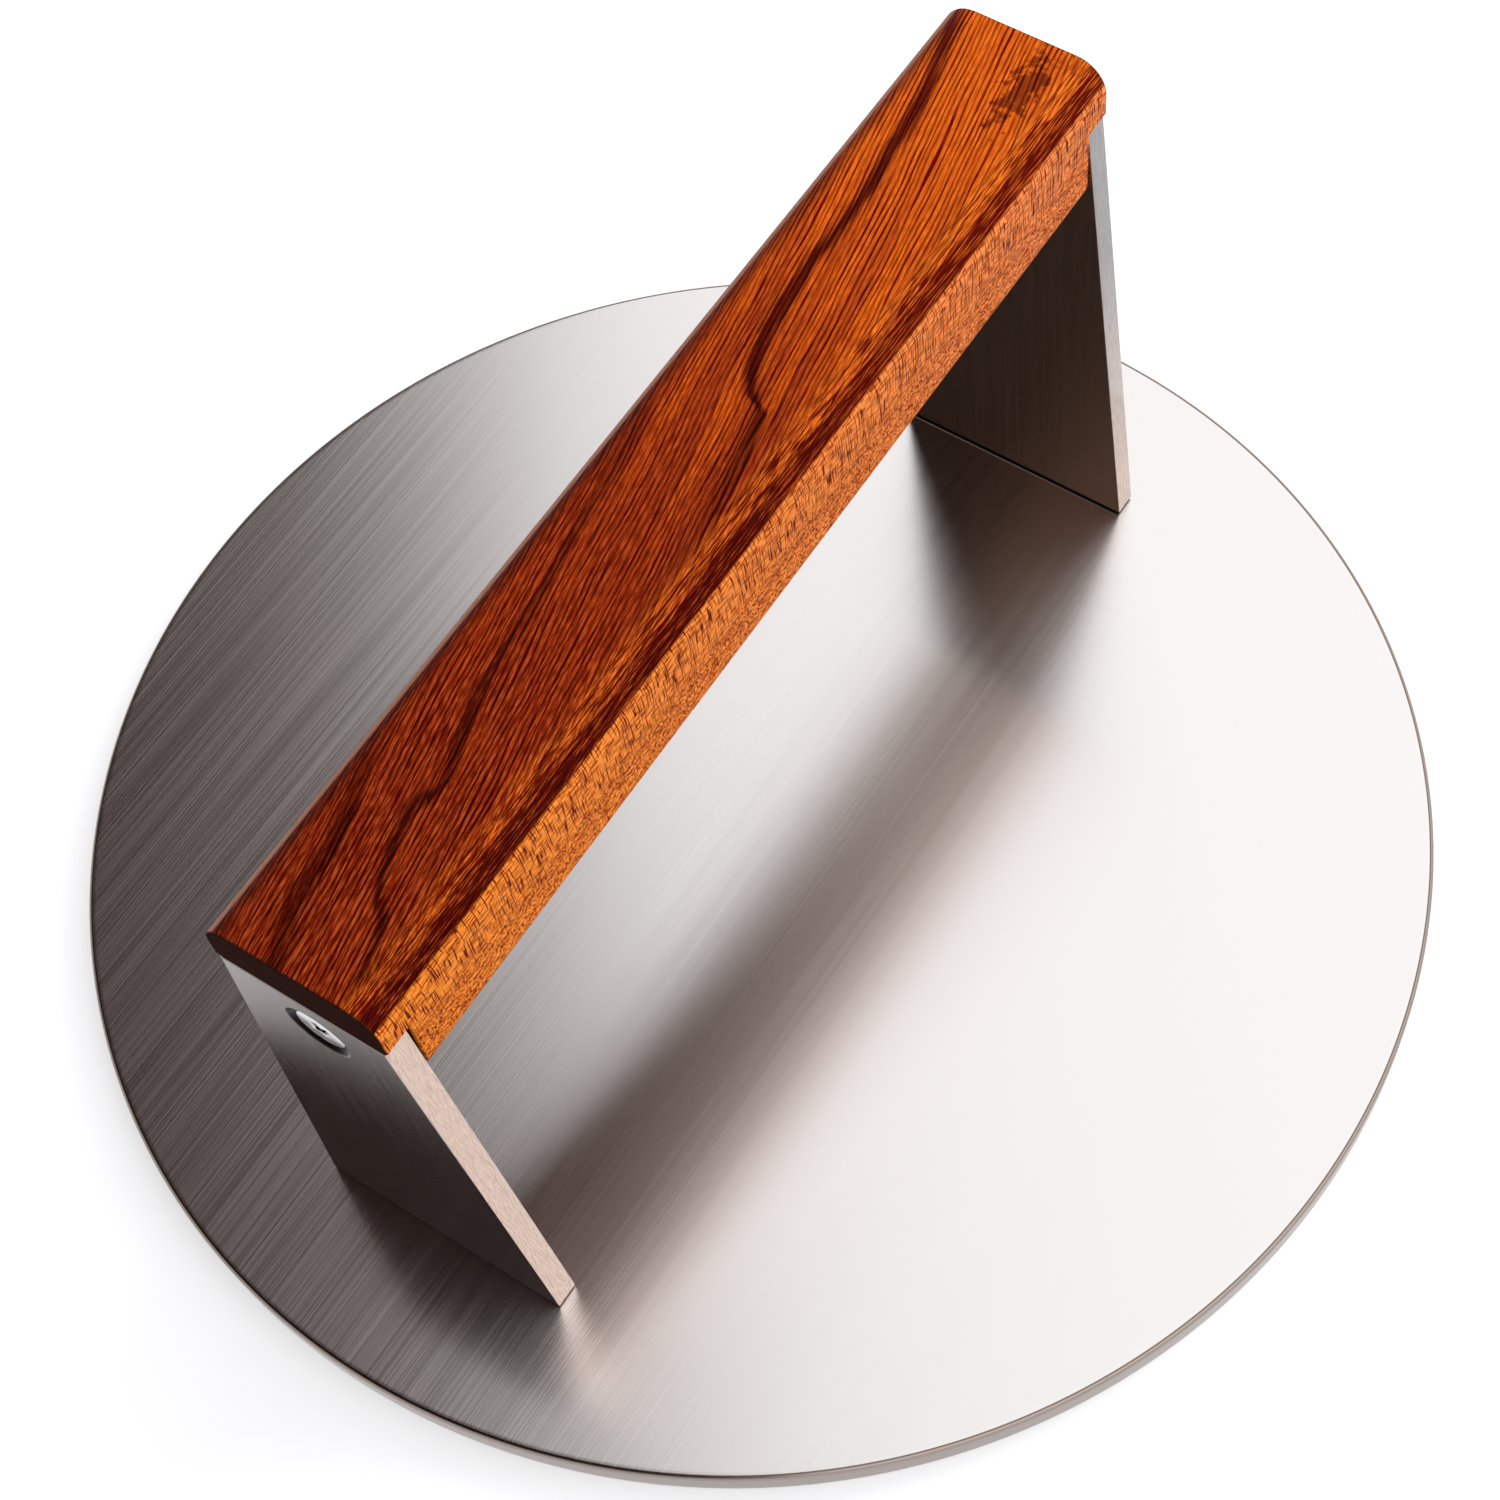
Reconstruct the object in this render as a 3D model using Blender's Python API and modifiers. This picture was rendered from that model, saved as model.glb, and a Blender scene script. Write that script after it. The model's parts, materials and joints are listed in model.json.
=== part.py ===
"""Round bacon press: a flat steel disc, two tapered steel legs and a hardwood grip.

The grip lies along X. Each leg is let into a rabbet at the end of the grip, flush with the
end grain, and one countersunk wood screw holds it there. The legs are welded to the disc.
The origin is the centre of the disc's underside, the face that presses, and +Z is up.
"""

import math

import bmesh
import bpy
from mathutils import Matrix

MM = 0.001

# Driving dimensions of the disc
PLATE_DIAMETER = 156.0 * MM
PLATE_THICKNESS = 4.0 * MM
PLATE_EDGE_BREAK = 0.5 * MM

# Driving dimensions of the grip
GRIP_LENGTH = 121.0 * MM
GRIP_WIDTH = 19.0 * MM
GRIP_HEIGHT = 15.4 * MM
GRIP_TOP_RADIUS = 3.6 * MM
GRIP_BOTTOM_RADIUS = 2.2 * MM
GRIP_END_BREAK = 0.3 * MM
GRIP_LIP_HEIGHT = 6.2 * MM
HAND_ROOM = 53.0 * MM

# Driving dimensions of the legs
LEG_THICKNESS = 3.0 * MM
LEG_FOOT_WIDTH = 30.6 * MM
LEG_TOP_INSET = 0.3 * MM
LEG_EDGE_BREAK = 0.25 * MM

# Driving dimensions of the screws
SCREW_DROP = 5.9 * MM
SCREW_LENGTH = 20.0 * MM
SCREW_SHANK_DIAMETER = 3.0 * MM
SCREW_HEAD_DIAMETER = 5.35 * MM
SCREW_HEAD_LAND = 0.3 * MM
SCREW_HEAD_RECESS = 0.3 * MM
SCREW_TIP_LENGTH = 4.0 * MM
RECESS_SPAN = 3.1 * MM
RECESS_SLOT_WIDTH = 0.85 * MM
RECESS_DEPTH = 1.1 * MM
RECESS_TURN = math.radians(28.0)

# Clearances: the weld line under a leg, a leg in its rabbet, and a screw in its holes
WELD_GAP = 0.3 * MM
RABBET_GAP = 0.3 * MM
SCREW_GAP = 0.3 * MM

# Facets of round shapes
PLATE_SEGMENTS = 144
BORE_SEGMENTS = 48
ROUNDING_SEGMENTS = 6
CUTTER_OVERRUN = 5.0 * MM

# Places worked out from the driving dimensions
GRIP_BOTTOM_Z = PLATE_THICKNESS + HAND_ROOM
GRIP_TOP_Z = GRIP_BOTTOM_Z + GRIP_HEIGHT
RABBET_TOP_Z = GRIP_TOP_Z - GRIP_LIP_HEIGHT
LEG_FOOT_Z = PLATE_THICKNESS + WELD_GAP
LEG_TOP_Z = RABBET_TOP_Z - RABBET_GAP
LEG_TOP_WIDTH = GRIP_WIDTH - 2 * LEG_TOP_INSET
LEG_OUTER_X = GRIP_LENGTH / 2
RABBET_DEPTH = LEG_THICKNESS + RABBET_GAP
SCREW_Z = LEG_TOP_Z - SCREW_DROP
BORE_RADIUS = SCREW_SHANK_DIAMETER / 2 + SCREW_GAP

# The left end is at -X and the right end at +X
ENDS = {"left": -1, "right": 1}


def clear_scene():
    for existing in list(bpy.data.objects):
        bpy.data.objects.remove(existing, do_unlink=True)


def make_collection(name):
    collection = bpy.data.collections.new(name)
    bpy.context.scene.collection.children.link(collection)
    return collection


def make_material(name, colour, roughness, metallic):
    material = bpy.data.materials.new(name)
    material.use_nodes = True
    shader = material.node_tree.nodes["Principled BSDF"]
    shader.inputs["Base Color"].default_value = (*colour, 1.0)
    shader.inputs["Roughness"].default_value = roughness
    shader.inputs["Metallic"].default_value = metallic
    return material


def add_object(name, data, collection, material=None):
    made = bpy.data.objects.new(name, data)
    collection.objects.link(made)
    if material:
        data.materials.append(material)
    return made


def mesh_from(shape, name):
    mesh = bpy.data.meshes.new(name)
    shape.to_mesh(mesh)
    shape.free()
    return mesh


def shade_round(mesh):
    mesh.shade_smooth()
    mesh.set_sharp_from_angle(angle=math.radians(30.0))


def box_mesh(name, size):
    shape = bmesh.new()
    bmesh.ops.create_cube(shape, size=1.0)
    bmesh.ops.scale(shape, vec=size, verts=shape.verts)
    return mesh_from(shape, name)


def cone_mesh(name, lower_radius, upper_radius, height, segments):
    """A cylinder or a cone along Z, centred on its origin."""
    shape = bmesh.new()
    bmesh.ops.create_cone(
        shape,
        cap_ends=True,
        segments=segments,
        radius1=lower_radius,
        radius2=upper_radius,
        depth=height,
    )
    return mesh_from(shape, name)


def mesh_of_curve(curve_object):
    """The closed mesh of a filled curve, with its loose caps welded on."""
    graph = bpy.context.evaluated_depsgraph_get()
    mesh = bpy.data.meshes.new_from_object(curve_object.evaluated_get(graph))
    shape = bmesh.new()
    shape.from_mesh(mesh)
    bmesh.ops.remove_doubles(shape, verts=shape.verts, dist=0.001 * MM)
    shape.to_mesh(mesh)
    shape.free()
    return mesh


def add_bevel(target, width, segments):
    bevel = target.modifiers.new("edge_break", "BEVEL")
    bevel.width = width
    bevel.segments = segments
    bevel.limit_method = "ANGLE"
    bevel.angle_limit = math.radians(40.0)
    return bevel


def add_cutter(target, name, mesh, place):
    """Cuts the mesh, set at that place, out of the target."""
    cutter = add_object(name, mesh, cutters)
    cutter.matrix_world = place
    cutter.hide_render = True
    cutter.display_type = "WIRE"
    boolean = target.modifiers.new(name, "BOOLEAN")
    boolean.operation = "DIFFERENCE"
    boolean.object = cutter


def outward(side):
    """Turns local +Z to point out of that end of the press, along X."""
    return Matrix.Rotation(side * math.pi / 2, 4, "Y")


def on_screw_axis(side, depth):
    """A place on that end's screw axis, at a depth below the leg's outer face."""
    return Matrix.Translation((side * (LEG_OUTER_X - depth), 0.0, SCREW_Z)) @ outward(side)


def build_plate():
    mesh = cone_mesh(
        "press_plate", PLATE_DIAMETER / 2, PLATE_DIAMETER / 2, PLATE_THICKNESS, PLATE_SEGMENTS
    )
    shade_round(mesh)
    plate = add_object("press_plate", mesh, parts, brushed_steel)
    plate.location.z = PLATE_THICKNESS / 2
    plate.parent = press
    add_bevel(plate, PLATE_EDGE_BREAK, 2)


def leg_outline(name):
    """The tapered outline of a leg in its own plane: local X runs across it and local Y up it."""
    curve = bpy.data.curves.new(name, "CURVE")
    curve.dimensions = "2D"
    curve.fill_mode = "BOTH"
    curve.extrude = LEG_THICKNESS / 2
    half_foot = LEG_FOOT_WIDTH / 2
    half_top = LEG_TOP_WIDTH / 2
    height = LEG_TOP_Z - LEG_FOOT_Z
    corners = [(-half_foot, 0.0), (half_foot, 0.0), (half_top, height), (-half_top, height)]
    spline = curve.splines.new("POLY")
    spline.points.add(len(corners) - 1)
    for point, (across, up) in zip(spline.points, corners):
        point.co = (across, up, 0.0, 1.0)
    spline.use_cyclic_u = True
    return curve


def build_leg(end, side):
    name = f"{end}_leg"
    outline = add_object(f"{name}_outline", leg_outline(name), cutters)
    middle_x = side * (LEG_OUTER_X - LEG_THICKNESS / 2)
    upright = Matrix.Rotation(math.pi / 2, 4, "Z") @ Matrix.Rotation(math.pi / 2, 4, "X")
    outline.matrix_world = Matrix.Translation((middle_x, 0.0, LEG_FOOT_Z)) @ upright
    bpy.context.view_layer.update()
    leg = add_object(name, mesh_of_curve(outline), parts, brushed_steel)
    leg.matrix_world = outline.matrix_world
    bpy.data.objects.remove(outline, do_unlink=True)
    leg.parent = press
    add_bevel(leg, LEG_EDGE_BREAK, 1)

    bore = cone_mesh(
        f"{name}_bore", BORE_RADIUS, BORE_RADIUS, LEG_THICKNESS + 2 * CUTTER_OVERRUN, BORE_SEGMENTS
    )
    add_cutter(leg, f"{name}_bore", bore, on_screw_axis(side, LEG_THICKNESS / 2))

    # The 90 degree countersink follows the cone of the head, a clearance away from it.
    head_radius = SCREW_HEAD_DIAMETER / 2
    mouth_radius = head_radius + SCREW_GAP + SCREW_HEAD_RECESS + SCREW_HEAD_LAND
    sink_depth = mouth_radius - BORE_RADIUS
    sink = cone_mesh(
        f"{name}_countersink",
        BORE_RADIUS,
        mouth_radius + CUTTER_OVERRUN,
        sink_depth + CUTTER_OVERRUN,
        BORE_SEGMENTS,
    )
    middle_depth = (sink_depth - CUTTER_OVERRUN) / 2
    add_cutter(leg, f"{name}_countersink", sink, on_screw_axis(side, middle_depth))


def grip_mesh():
    """A bar along X whose long edges carry the weights that round them over."""
    mesh = box_mesh("handle_grip", (GRIP_LENGTH, GRIP_WIDTH, GRIP_HEIGHT))
    shape = bmesh.new()
    shape.from_mesh(mesh)
    weights = shape.edges.layers.float.new("bevel_weight_edge")
    widest = max(GRIP_TOP_RADIUS, GRIP_BOTTOM_RADIUS)
    for edge in shape.edges:
        start, finish = (vert.co for vert in edge.verts)
        if abs(start.x - finish.x) > GRIP_LENGTH / 2:
            radius = GRIP_TOP_RADIUS if start.z > 0 else GRIP_BOTTOM_RADIUS
            edge[weights] = radius / widest
    shape.to_mesh(mesh)
    shape.free()
    shade_round(mesh)
    return mesh, widest


def build_grip():
    mesh, widest_radius = grip_mesh()
    grip = add_object("handle_grip", mesh, parts, oiled_hardwood)
    grip.location.z = GRIP_BOTTOM_Z + GRIP_HEIGHT / 2
    grip.parent = press
    rounding = grip.modifiers.new("rounded_long_edges", "BEVEL")
    rounding.width = widest_radius
    rounding.segments = ROUNDING_SEGMENTS
    rounding.limit_method = "WEIGHT"
    add_bevel(grip, GRIP_END_BREAK, 1)

    for end, side in ENDS.items():
        rabbet_height = RABBET_TOP_Z - GRIP_BOTTOM_Z + CUTTER_OVERRUN
        rabbet = box_mesh(
            f"{end}_rabbet",
            (RABBET_DEPTH + CUTTER_OVERRUN, GRIP_WIDTH + 2 * CUTTER_OVERRUN, rabbet_height),
        )
        middle_x = side * (LEG_OUTER_X - (RABBET_DEPTH - CUTTER_OVERRUN) / 2)
        middle_z = RABBET_TOP_Z - rabbet_height / 2
        add_cutter(grip, f"{end}_rabbet", rabbet, Matrix.Translation((middle_x, 0.0, middle_z)))

        hole_end = SCREW_HEAD_RECESS + SCREW_LENGTH + SCREW_GAP
        pilot = cone_mesh(f"{end}_pilot_hole", BORE_RADIUS, BORE_RADIUS, hole_end, BORE_SEGMENTS)
        add_cutter(grip, f"{end}_pilot_hole", pilot, on_screw_axis(side, hole_end / 2))


def screw_profile(name):
    """Half the section of a countersunk wood screw, from its face at local Z 0 down to its tip."""
    head_radius = SCREW_HEAD_DIAMETER / 2
    shank_radius = SCREW_SHANK_DIAMETER / 2
    neck_z = -SCREW_HEAD_LAND - (head_radius - shank_radius)
    outline = [
        (0.0, 0.0),
        (head_radius, 0.0),
        (head_radius, -SCREW_HEAD_LAND),
        (shank_radius, neck_z),
        (shank_radius, SCREW_TIP_LENGTH - SCREW_LENGTH),
        (0.0, -SCREW_LENGTH),
    ]
    shape = bmesh.new()
    points = [shape.verts.new((radius, 0.0, z)) for radius, z in outline]
    for upper, lower in zip(points, points[1:]):
        shape.edges.new((upper, lower))
    return mesh_from(shape, name)


def recess_slot_mesh(name):
    """One slot of the cross recess, narrowing to its floor."""
    shape = bmesh.new()
    bmesh.ops.create_cube(shape, size=1.0)
    size = (RECESS_SPAN, RECESS_SLOT_WIDTH, 2 * RECESS_DEPTH)
    bmesh.ops.scale(shape, vec=size, verts=shape.verts)
    floor = [vert for vert in shape.verts if vert.co.z < 0]
    bmesh.ops.scale(shape, vec=(0.4, 0.6, 1.0), verts=floor)
    return mesh_from(shape, name)


def build_screw(end, side):
    name = f"{end}_screw"
    screw = add_object(name, screw_profile(name), parts, bright_steel)
    screw.matrix_world = on_screw_axis(side, SCREW_HEAD_RECESS)
    screw.parent = press
    turning = screw.modifiers.new("turned", "SCREW")
    turning.axis = "Z"
    turning.steps = BORE_SEGMENTS // 2
    turning.render_steps = BORE_SEGMENTS // 2
    turning.use_merge_vertices = True
    turning.merge_threshold = 0.001 * MM
    turning.use_smooth_shade = False
    for slot, turn in (("a", 0.0), ("b", math.pi / 2)):
        place = on_screw_axis(side, SCREW_HEAD_RECESS) @ Matrix.Rotation(RECESS_TURN + turn, 4, "Z")
        add_cutter(screw, f"{name}_slot_{slot}", recess_slot_mesh(f"{name}_slot_{slot}"), place)


clear_scene()
parts = make_collection("bacon_press")
cutters = make_collection("cutters")
press = bpy.data.objects.new("press", None)
parts.objects.link(press)

brushed_steel = make_material("brushed_stainless_steel", (0.56, 0.54, 0.52), 0.34, 1.0)
bright_steel = make_material("bright_screw_steel", (0.66, 0.65, 0.66), 0.28, 1.0)
oiled_hardwood = make_material("oiled_red_hardwood", (0.36, 0.088, 0.018), 0.42, 0.0)

build_plate()
build_grip()
for end_name, end_side in ENDS.items():
    build_leg(end_name, end_side)
    build_screw(end_name, end_side)
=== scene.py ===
# %% [markdown]
# # A round bacon press, dressed for its picture
#
# The press is a flat steel disc, two tapered steel legs and a hardwood bar as the grip, held by
# one countersunk wood screw at each end. The CAD model is loaded first as a fixed frame. Each of
# its facetted solids is then replaced by a finer mesh of the same size, so that round edges catch
# the light smoothly, and gets a finish made of nodes.

# %% Load the frame
import json
import math

import bmesh
import bpy
from mathutils import Matrix, Vector

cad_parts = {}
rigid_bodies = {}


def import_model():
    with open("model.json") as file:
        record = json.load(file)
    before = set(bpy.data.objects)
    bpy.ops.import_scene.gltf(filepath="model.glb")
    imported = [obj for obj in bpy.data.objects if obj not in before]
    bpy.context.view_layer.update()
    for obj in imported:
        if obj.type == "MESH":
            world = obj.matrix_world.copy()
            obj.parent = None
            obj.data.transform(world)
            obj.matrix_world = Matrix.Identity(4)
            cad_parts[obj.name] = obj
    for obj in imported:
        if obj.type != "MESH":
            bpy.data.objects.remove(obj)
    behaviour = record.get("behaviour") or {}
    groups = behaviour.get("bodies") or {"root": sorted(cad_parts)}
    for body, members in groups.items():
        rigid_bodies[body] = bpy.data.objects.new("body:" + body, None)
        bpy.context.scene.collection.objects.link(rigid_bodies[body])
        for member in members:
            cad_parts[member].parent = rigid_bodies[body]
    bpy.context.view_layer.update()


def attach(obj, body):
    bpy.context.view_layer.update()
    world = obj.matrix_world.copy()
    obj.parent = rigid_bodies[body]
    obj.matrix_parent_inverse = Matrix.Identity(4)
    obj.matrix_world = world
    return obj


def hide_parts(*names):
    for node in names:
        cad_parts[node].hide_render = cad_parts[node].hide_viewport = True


for leftover in list(bpy.data.objects):
    bpy.data.objects.remove(leftover, do_unlink=True)
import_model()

# %% [markdown]
# ## Camera
#
# The picture looks down on the press from beyond its left end, from close by: the near leg looks
# much larger than the far one. A camera can be placed by eye, but here its place was worked out
# from the oval of the disc and the corners of the legs. The lens shift stands for a picture that
# was cropped after it was taken, so its optical axis isn't in the middle of the frame.

# %% Camera
PICTURE_SIZE = 1500
FOCAL_PIXELS = 2564.5
AXIS_PIXEL = (880, 960)
AIM = Vector((-0.00818, -0.02248, 0.004))
DISTANCE = 0.2894
azimuth, elevation, roll = (math.radians(angle) for angle in (-51.43, 64.92, -6.66))

back = Vector((
    math.sin(azimuth) * math.cos(elevation),
    -math.cos(azimuth) * math.cos(elevation),
    math.sin(elevation),
))
level_right = Vector((0, 0, 1)).cross(back).normalized()
level_up = back.cross(level_right)
right = math.cos(roll) * level_right + math.sin(roll) * level_up
up = math.cos(roll) * level_up - math.sin(roll) * level_right

lens = bpy.data.cameras.new("picture_camera")
lens.sensor_fit = "HORIZONTAL"
lens.sensor_width = 36
lens.lens = lens.sensor_width * FOCAL_PIXELS / PICTURE_SIZE
lens.shift_x = (PICTURE_SIZE / 2 - AXIS_PIXEL[0]) / PICTURE_SIZE
lens.shift_y = (AXIS_PIXEL[1] - PICTURE_SIZE / 2) / PICTURE_SIZE
lens.clip_start = 0.01
camera = bpy.data.objects.new("picture_camera", lens)
bpy.context.scene.collection.objects.link(camera)
turned_to_aim = Matrix((right, up, back)).transposed().to_4x4()
camera.matrix_world = Matrix.Translation(AIM + DISTANCE * back) @ turned_to_aim
bpy.context.scene.camera = camera
print("Lens of", round(lens.lens, 1), "mm")

# %% [markdown]
# ## Colours and nodes
#
# Colours are easiest to read as the hex values of a paint program, but the shader works in linear
# light, so one function converts them. Another adds a node with its settings and links, which
# keeps each finish short enough to read from top to bottom.

# %% Helpers for nodes
def linear(hex_colour):
    channels = [int(hex_colour[start:start + 2], 16) / 255 for start in (1, 3, 5)]
    return (*(c / 12.92 if c <= 0.04045 else ((c + 0.055) / 1.055) ** 2.4 for c in channels), 1.0)


def add(tree, kind, inputs=None, stops=None, curve=None, **settings):
    """Adds a node. An input is a value or another node's output; stops fill a colour ramp."""
    made = tree.nodes.new(kind)
    for name, value in settings.items():
        setattr(made, name, value)
    for name, value in (inputs or {}).items():
        if isinstance(value, bpy.types.NodeSocket):
            tree.links.new(value, made.inputs[name])
        else:
            made.inputs[name].default_value = value
    for index, (position, colour) in enumerate(stops or []):
        elements = made.color_ramp.elements
        stop = elements[index] if index < len(elements) else elements.new(position)
        stop.position = position
        stop.color = colour
    for index, point in enumerate(curve or []):
        points = made.mapping.curves[0].points
        if index < len(points):
            points[index].location = point
        else:
            points.new(*point)
    if curve:
        made.mapping.update()
    return made


# %% [markdown]
# A few steps come back in every finish, so each gets a short name. Noise is stretched to a size in
# mm. A change runs from one number to another while a measure, such as a height, runs between two
# bounds. Tones are a colour ramp. The rest do sums and mix numbers or colours.

# %% Helpers for finishes
SCREW_Z = 60.0


def noise(tree, place, size, detail=2.0, roughness=0.5):
    """Noise with grains of the given size in mm along X, Y and Z."""
    scaled = add(tree, "ShaderNodeMapping", {"Vector": place, "Scale": [1 / length for length in size]})
    inputs = {"Vector": scaled.outputs[0], "Scale": 1.0, "Detail": detail, "Roughness": roughness}
    return add(tree, "ShaderNodeTexNoise", inputs).outputs


def change(tree, value, start, end, low=0.0, high=1.0, kind="LINEAR"):
    """Goes from low to high while the value goes from start to end."""
    inputs = {"Value": value, "From Min": start, "From Max": end, "To Min": low, "To Max": high}
    return add(tree, "ShaderNodeMapRange", inputs, interpolation_type=kind).outputs[0]


def tones(tree, value, *stops):
    """A colour ramp. Each stop is a position and a hex colour."""
    colours = [(position, linear(hex_colour)) for position, hex_colour in stops]
    return add(tree, "ShaderNodeValToRGB", {"Fac": value}, stops=colours).outputs[0]


def compute(tree, operation, *values):
    return add(tree, "ShaderNodeMath", dict(enumerate(values)), operation=operation).outputs[0]


def mix_numbers(tree, share, first, second):
    return add(tree, "ShaderNodeMix", {0: share, 2: first, 3: second}).outputs[0]


def blend(tree, share, first, second, kind="MIX"):
    """Mixes two colours, each a hex value or another node's output."""
    first, second = (linear(c) if isinstance(c, str) else c for c in (first, second))
    inputs = {0: share, 6: first, 7: second}
    return add(tree, "ShaderNodeMix", inputs, data_type="RGBA", blend_type=kind).outputs[2]


def length_of(tree, place, kept, origin=None):
    """The distance from the origin, counting only the axes whose share in kept is 1."""
    if origin:
        place = add(tree, "ShaderNodeVectorMath", {0: place, 1: origin}, operation="SUBTRACT").outputs[0]
    place = add(tree, "ShaderNodeVectorMath", {0: place, 1: kept}, operation="MULTIPLY").outputs[0]
    return add(tree, "ShaderNodeVectorMath", {0: place}, operation="LENGTH").outputs["Value"]


def axes(tree, place):
    return add(tree, "ShaderNodeSeparateXYZ", {0: place}).outputs


def start_finish(name):
    """A new material with its node tree, its shader's inputs and its object coordinates in mm."""
    material = bpy.data.materials.new(name)
    material.use_nodes = True
    tree = material.node_tree
    shader = tree.nodes["Principled BSDF"]
    place = add(tree, "ShaderNodeTexCoord").outputs["Object"]
    mm = add(tree, "ShaderNodeMapping", {"Vector": place, "Scale": (1000, 1000, 1000)}).outputs[0]
    return material, tree, shader.inputs, mm


# %% [markdown]
# ## Studio
#
# Polished and brushed steel shows little but its surroundings, so the studio is half the finish.
# The disc mirrors the ceiling: it is dark towards the left end and nearly white towards the right
# end, with a soft change between. Lamps could do that, but the disc would show their outlines.
# Here the sky itself has a dark half and a bright half. The edge between them is firm, and the
# brushed steel blurs it. Pale walls all round keep the disc grey in low views.

# %% Studio sky
LIGHT_SIDE = (0.648, -0.762, 0.0)
SKY_STRENGTH = 1.6
world = bpy.data.worlds.new("studio")
bpy.context.scene.world = world
world.use_nodes = True
tree = world.node_tree
tree.nodes.clear()
direction = add(tree, "ShaderNodeTexCoord").outputs["Generated"]
towards_light = add(
    tree, "ShaderNodeVectorMath", {0: direction, 1: LIGHT_SIDE}, operation="DOT_PRODUCT"
).outputs["Value"]
halves = add(
    tree, "ShaderNodeValToRGB", {"Fac": change(tree, towards_light, -0.5, 0.5)},
    stops=[(0.0, (0.022, 0.011, 0.009, 1)), (0.421, (0.024, 0.012, 0.010, 1)),
           (0.446, (0.92, 0.92, 0.92, 1)), (1.0, (0.98, 0.98, 0.98, 1))],
).outputs[0]
# The bright half dims from 27 degrees down, and the walls end between 31 and 41 degrees.
height = axes(tree, direction)["Z"]
limit = add(
    tree, "ShaderNodeValToRGB", {"Fac": height},
    stops=[(0.24, (0.62, 0.62, 0.62, 1)), (0.46, (1, 1, 1, 1))],
).outputs[0]
walls = add(
    tree, "ShaderNodeValToRGB", {"Fac": height},
    stops=[(0.52, (0.42, 0.41, 0.40, 1)), (0.66, (0, 0, 0, 1))],
).outputs[0]
brightness = blend(tree, 1.0, halves, limit, "DARKEN")
brightness = blend(tree, 1.0, brightness, walls, "LIGHTEN")
sees_backdrop = add(tree, "ShaderNodeLightPath").outputs["Is Camera Ray"]
sky = add(tree, "ShaderNodeBackground", {"Color": brightness, "Strength": SKY_STRENGTH})
backdrop = add(tree, "ShaderNodeBackground", {"Color": (1, 1, 1, 1), "Strength": 1.0})
mixed = add(
    tree, "ShaderNodeMixShader", {0: sees_backdrop, 1: sky.outputs[0], 2: backdrop.outputs[0]}
)
add(tree, "ShaderNodeOutputWorld", {"Surface": mixed.outputs[0]})
bpy.context.scene.view_settings.view_transform = "Standard"
print("Studio sky ready")

# %% [markdown]
# The floor is white paper. Paper alone would look grey in this light, so what the camera and the
# steel see of it is lifted to white, and the soft shadow of the press still shows. A large soft
# lamp lights the side of the bar. It is left out of reflections, because the disc would show it.

# %% Floor and key lamp
FLOOR_RADIUS, FLOOR_DROP = 4.0, 0.0002
CAMERA_LIFT, MIRROR_LIFT = 0.5, 0.4
LAMP_PLACE = (0.90, -0.35, 0.60)
floor_shape = bmesh.new()
bmesh.ops.create_circle(floor_shape, cap_ends=True, segments=64, radius=FLOOR_RADIUS)
floor_mesh = bpy.data.meshes.new("paper_floor")
floor_shape.to_mesh(floor_mesh)
floor_shape.free()
floor = bpy.data.objects.new("paper_floor", floor_mesh)
floor.location.z = -FLOOR_DROP
bpy.context.scene.collection.objects.link(floor)

paper = bpy.data.materials.new("white_paper")
paper.use_nodes = True
tree = paper.node_tree
tree.nodes.clear()
rays = add(tree, "ShaderNodeLightPath").outputs
mirrored = compute(tree, "MAXIMUM", rays["Is Glossy Ray"], rays["Is Transmission Ray"])
mirrored = compute(tree, "MULTIPLY", mirrored, MIRROR_LIFT)
lift = compute(tree, "MULTIPLY_ADD", rays["Is Camera Ray"], CAMERA_LIFT, mirrored)
matt = add(tree, "ShaderNodeBsdfDiffuse", {"Color": linear("#CDCED2")})
glow = add(tree, "ShaderNodeEmission", {"Strength": lift})
both = add(tree, "ShaderNodeAddShader", {0: matt.outputs[0], 1: glow.outputs[0]})
add(tree, "ShaderNodeOutputMaterial", {"Surface": both.outputs[0]})
floor_mesh.materials.append(paper)

lamp = bpy.data.lights.new("soft_key", "AREA")
lamp.shape = "SQUARE"
lamp.size = 0.6
lamp.energy = 5.0
key = bpy.data.objects.new("soft_key", lamp)
key.location = LAMP_PLACE
key.rotation_euler = (-key.location).to_track_quat("-Z", "Y").to_euler()
key.visible_glossy = False
bpy.context.scene.collection.objects.link(key)
print("Floor and key lamp ready")

# %% [markdown]
# ## Brushed stainless steel of the disc
#
# The disc is stainless sheet, drawn once under an abrasive belt along the grip. The scratches are
# too fine to see one by one, but they spread each reflection across them, and bundles of them show
# as straight streaks. The spread is the shader's anisotropy, with its tangent across the lines.
# The streaks are noise, stretched along X. They are clearest at the left, and fade to the right.

# %% Finish: brushed disc
GROOVE_LEAN = 0.034
disc_steel, tree, shader, mm = start_finish("brushed_stainless_steel")
split = axes(tree, mm)
# Bundles of scratches 0.15 mm wide and 45 mm long; the real ones are 0.05 mm and would not show.
fine = noise(tree, mm, (45, 0.15, 0.15), detail=1.0, roughness=0.6)["Fac"]
broad = noise(tree, mm, (90, 1.2, 1.2))["Fac"]
streaks = mix_numbers(tree, 0.15, fine, broad)
tone = tones(tree, streaks, (0.36, "#C3BCBA"), (0.64, "#DAD3D1"))
faded = compute(tree, "SUBTRACT", split["X"], split["Y"])
faded = change(tree, faded, -80.0, -15.0, high=0.95)
tone = blend(tree, faded, tone, "#D0CDCC")
rough = change(tree, streaks, 0.32, 0.68, low=0.162, high=0.196)
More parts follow.
